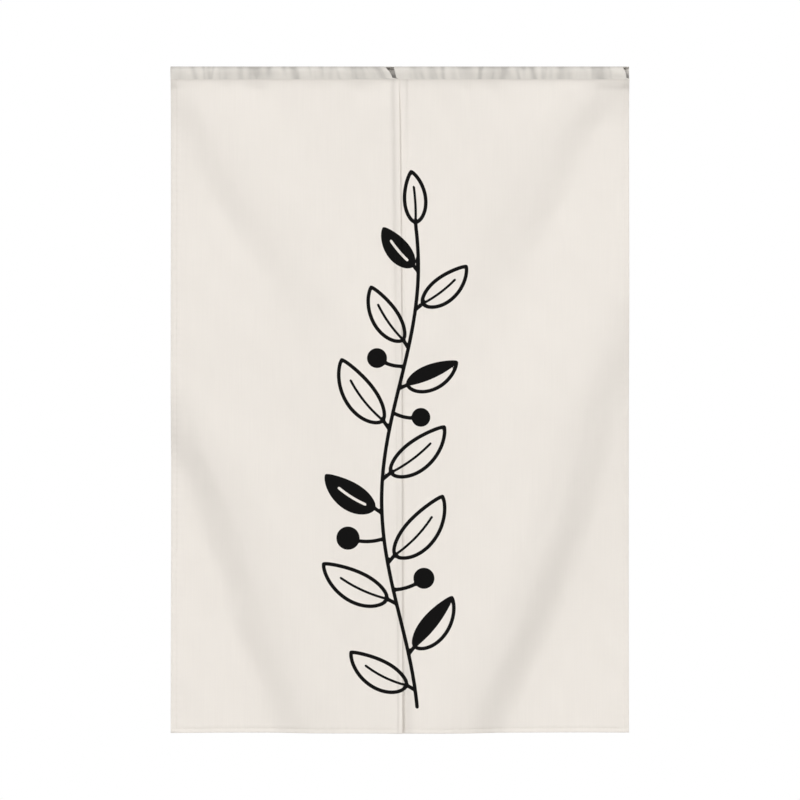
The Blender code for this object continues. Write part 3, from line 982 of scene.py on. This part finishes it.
def sewn_row(side, along, on_row, front):
    """Stitches along one row. on_row turns distances along it into x and distances down,
    and the cloth's own slope gives each stitch its lie."""

    def surface(distance, aside):
        x, down = on_row(distance, aside)
        y = panel_front(side, x, down)
        if not front:
            y = y + panel_thickness(side, x, down)
        return np.stack([x, y, -down], -1)

    small = 0.2 * MM
    middle = surface(along, 0.0)
    forward = surface(along + small, 0.0) - surface(along - small, 0.0)
    forward = forward / np.linalg.norm(forward, axis=1, keepdims=True)
    across = surface(along, small) - surface(along, -small)
    out = np.cross(forward, across)
    out = out / np.linalg.norm(out, axis=1, keepdims=True)
    out = out * np.sign(-out[:, 1:2] if front else out[:, 1:2])
    aside = np.cross(out, forward)

    steps = np.array([-0.5, -0.3, 0.3, 0.5]) * STITCH_LENGTH
    thick = np.array([0.35, 1.0, 1.0, 0.35]) * THREAD
    rise = np.array([-0.9, 0.55, 0.55, -0.9]) * THREAD
    corner = np.radians([45, 135, 225, 315])[:, None, None]
    ring = np.cos(corner) * aside + np.sin(corner) * out
    points = middle + steps[:, None, None] * forward + rise[:, None, None] * out
    points = points[:, None] + thick[:, None, None, None] * ring
    return points.transpose(2, 0, 1, 3)


def places_across(side, edge, down, start):
    """Where the stitches of a row across a panel lie, from start past one of its edges."""
    ends = edge(np.array(down)) + side * start, side * (WIDTH / 2.0 - start)
    return np.arange(min(ends), max(ends), STITCH_PITCH)


def thread_mesh(name, rows, ink_edges):
    """All stitches of a panel as one mesh: four rings of four corners each, and two ends.
    Their distances to the print's edge go with them."""
    stitches = np.concatenate(rows)
    count = len(stitches)
    first = np.arange(count)[:, None] * 16
    rings = []
    for ring in range(3):
        for corner in range(4):
            a, b = ring * 4 + corner, ring * 4 + (corner + 1) % 4
            rings.append([a, b, b + 4, a + 4])
    shape = np.array(rings + [[3, 2, 1, 0], [12, 13, 14, 15]])
    faces = (first[:, None, :] + shape[None]).reshape(-1, 4)
    mesh = smooth_mesh(name, stitches.reshape(-1, 3), faces.tolist())
    keep(mesh, "ink_edge", "FLOAT", np.concatenate([edge.ravel() for edge in ink_edges]))
    return mesh


def thread(name, colour):
    """Spun thread: its colour changes a little in small patches, and it is black where the
    print crosses it."""
    material, shader = new_material(name)
    tree = material.node_tree
    shader.inputs["Roughness"].default_value = 0.75
    shader.inputs["Sheen Weight"].default_value = 0.05
    place = Shade(shader.outputs[0]).node("ShaderNodeTexCoord", {}, {}, 3)
    twist = place.stretched(2600.0, 2600.0, 2600.0).patches(1.0)
    ink = 1.0 - place.reading("ink_edge").eased(-INK_SOFTNESS, INK_SOFTNESS)
    inked = ink.mixed((0.9 + 0.2 * twist).lit(colour), INK)
    tree.links.new(inked.socket, shader.inputs["Base Color"])
    return material


spun_thread = thread("spun_thread", THREAD_COLOUR)
for side, name in ((-1, "left"), (1, "right")):
    edge = left_inner_edge if side < 0 else right_inner_edge

    def outer_row(distance, aside):
        return side * (WIDTH / 2.0 - OUTER_STITCHES) + aside + 0.0 * distance, distance

    def inner_row(distance, aside):
        x = edge(distance) + side * inner_stitches(side, distance)
        return x + aside, distance

    def bottom_row(distance, aside):
        return distance, LENGTH - BOTTOM_STITCHES + aside + 0.0 * distance

    def seam_row(distance, aside):
        return distance, SEAM + TOP_STITCHES + aside + 0.0 * distance

    down_rows = np.arange(SEAM + DOWN_START, LENGTH - BOTTOM_STITCHES - DOWN_END, STITCH_PITCH)
    bottom_places = places_across(side, edge, LENGTH, BOTTOM_START)
    seam_places = places_across(side, edge, SEAM, SEAM_START)
    rows = []
    for front in (True, False):
        rows.append(sewn_row(side, down_rows, outer_row, front))
        rows.append(sewn_row(side, down_rows, inner_row, front))
        rows.append(sewn_row(side, bottom_places, bottom_row, front))
        rows.append(sewn_row(side, seam_places, seam_row, front))
    ink_edges = [np.full(row.shape[:-1], Screen.FAR) for row in rows]
    ink_edges[1] = branch_print(rows[1][..., 0], -rows[1][..., 2])
    mesh = thread_mesh(name + "_panel_stitches", rows, ink_edges)
    add_piece(name + "_panel_stitches", mesh, spun_thread)


# Light and place. A plain pale floor lies 0.8 m under the bottom hems, as in a doorway.
# Soft light comes from two large lights high up in front, left and right, and from a
# weaker one behind, about as high as the heading.
FLOOR_DOWN, FLOOR_SIZE = 2.0, 15.0
FLOOR_COLOUR = (208, 208, 206)
ROOM_LIGHT = 0.06

floor_mesh = bpy.data.meshes.new("floor")
corners = [(-1, -1), (1, -1), (1, 1), (-1, 1)]
floor_mesh.from_pydata(
    [(x * FLOOR_SIZE / 2, y * FLOOR_SIZE / 2, -FLOOR_DOWN) for x, y in corners],
    [],
    [(0, 1, 2, 3)],
)
floor_material, floor_shader = new_material("pale_floor")
floor_shader.inputs["Base Color"].default_value = screen_colour(*FLOOR_COLOUR)
floor_shader.inputs["Roughness"].default_value = 0.7
floor_mesh.materials.append(floor_material)
floor = bpy.data.objects.new("floor", floor_mesh)
bpy.context.scene.collection.objects.link(floor)

room = bpy.data.worlds.new("pale_room")
room.use_nodes = True
room.node_tree.nodes.clear()
output = room.node_tree.nodes.new("ShaderNodeOutputWorld")
path = room.node_tree.nodes.new("ShaderNodeLightPath")
mix = room.node_tree.nodes.new("ShaderNodeMixShader")
room.node_tree.links.new(path.outputs["Is Camera Ray"], mix.inputs["Fac"])
for strength, socket in ((ROOM_LIGHT, mix.inputs[1]), (1.0, mix.inputs[2])):
    white = room.node_tree.nodes.new("ShaderNodeBackground")
    white.inputs["Color"].default_value = (1.0, 1.0, 1.0, 1.0)
    white.inputs["Strength"].default_value = strength
    room.node_tree.links.new(white.outputs[0], socket)
room.node_tree.links.new(mix.outputs[0], output.inputs["Surface"])
bpy.context.scene.world = room

Lamp = namedtuple("Lamp", "name x y z size watts")
LAMPS = [
    Lamp("left_softbox", -11.0, -13.4, 12.8, 8.0, 2860),
    Lamp("right_softbox", 11.0, -13.4, 12.8, 8.0, 2860),
    Lamp("back_softbox", 1.0, 5.0, 0.2, 3.0, 170),
]
for lamp in LAMPS:
    data = bpy.data.lights.new(lamp.name, "AREA")
    data.shape, data.size, data.energy = "SQUARE", lamp.size, lamp.watts
    light = bpy.data.objects.new(lamp.name, data)
    bpy.context.scene.collection.objects.link(light)
    light.location = (lamp.x, lamp.y, lamp.z)
    aim = -light.location
    aim.z -= LENGTH / 2.0
    light.rotation_mode = "QUATERNION"
    light.rotation_quaternion = aim.to_track_quat("-Z", "Y")

# The camera looks straight at the front from 8 m, and takes in 1.44 m at the cloth.
VIEW_WIDTH, CAMERA_AWAY, CAMERA_DOWN, SENSOR = 1.44, 8.0, 0.6003, 36.0
camera_data = bpy.data.cameras.new("camera")
camera_data.sensor_width = SENSOR
camera_data.lens = SENSOR * CAMERA_AWAY / VIEW_WIDTH
camera_data.clip_end = 100.0
camera = bpy.data.objects.new("camera", camera_data)
bpy.context.scene.collection.objects.link(camera)
camera.location = (0.0, -CAMERA_AWAY, -CAMERA_DOWN)
camera.rotation_euler = (np.pi / 2.0, 0.0, 0.0)
bpy.context.scene.camera = camera
bpy.context.scene.view_settings.view_transform = "Standard"
